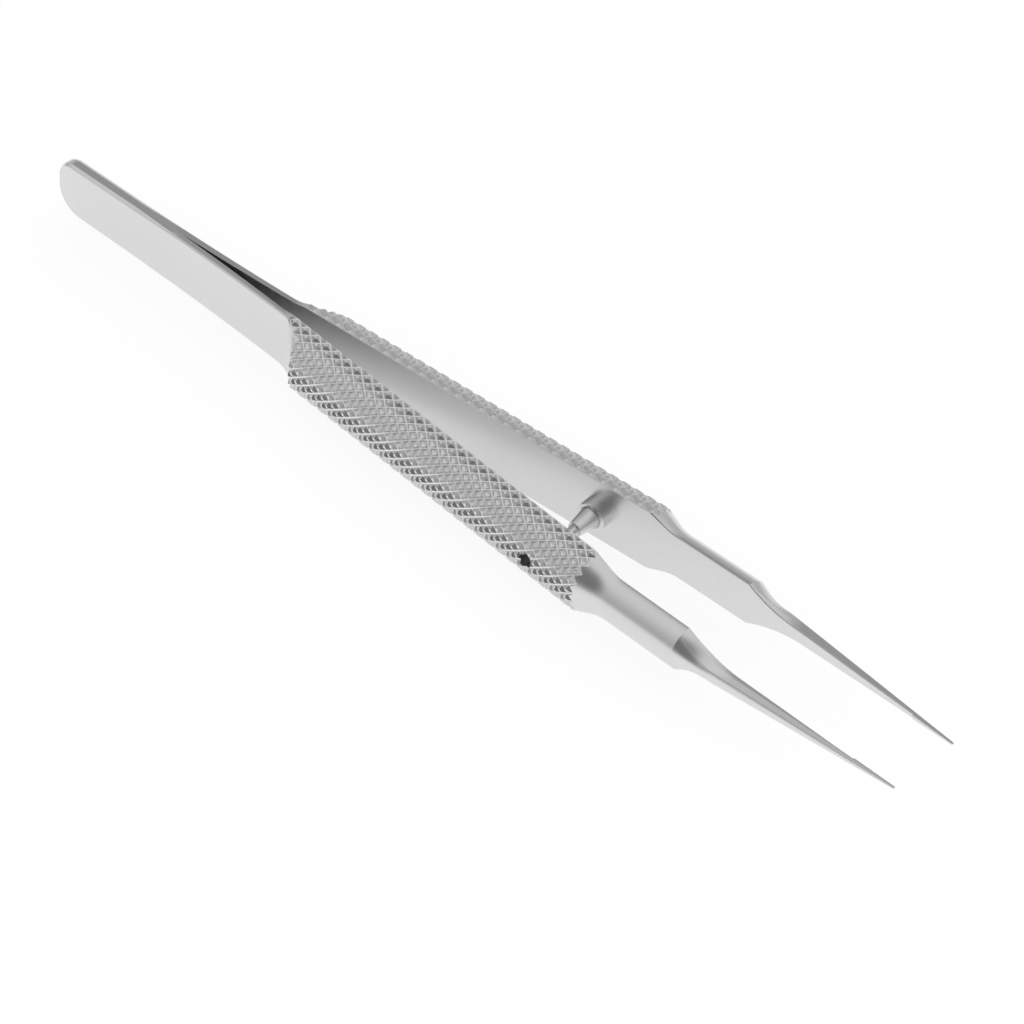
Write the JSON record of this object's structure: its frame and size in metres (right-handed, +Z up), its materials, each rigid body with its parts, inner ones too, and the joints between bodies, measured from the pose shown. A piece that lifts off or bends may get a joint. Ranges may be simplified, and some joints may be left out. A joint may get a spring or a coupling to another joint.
{
  "type": "fine tip tweezers",
  "caption": "Spring tweezers for microsurgery with round knurled handles, a guide pin with a stop collar, slender necks and very fine straight tips that meet when the arms are squeezed.",
  "frame": {"origin": "on the surface the tweezers lie on, under the middle of their overall box", "axes": "+X from the welded tail towards the tips, +Y the way the right arm lies from the middle, +Z up from the surface they lie on"},
  "size_m": [0.125, 0.016, 0.008],
  "materials": {
    "steel": "fine satin, bare stainless steel"
  },
  "bodies": {
    "heel": {"welded_tail": "steel"},
    "left_side": {"left_arm": "steel"},
    "right_side": {"right_arm": "steel", "guide_pin": "steel"}
  },
  "joints": [
    {"name": "left_spring", "type": "hinge", "parent": "heel", "child": "left_side", "pos_m": [-0.044, -0.00042, 0.004], "axis": [0, 0, 1], "range_deg": [0, 2.32], "stiffness_Nm_per_rad": 0.7},
    {"name": "right_spring", "type": "hinge", "parent": "heel", "child": "right_side", "pos_m": [-0.044, 0.00042, 0.004], "axis": [0, 0, -1], "range_deg": [0, 2.32], "stiffness_Nm_per_rad": 0.7}
  ]
}
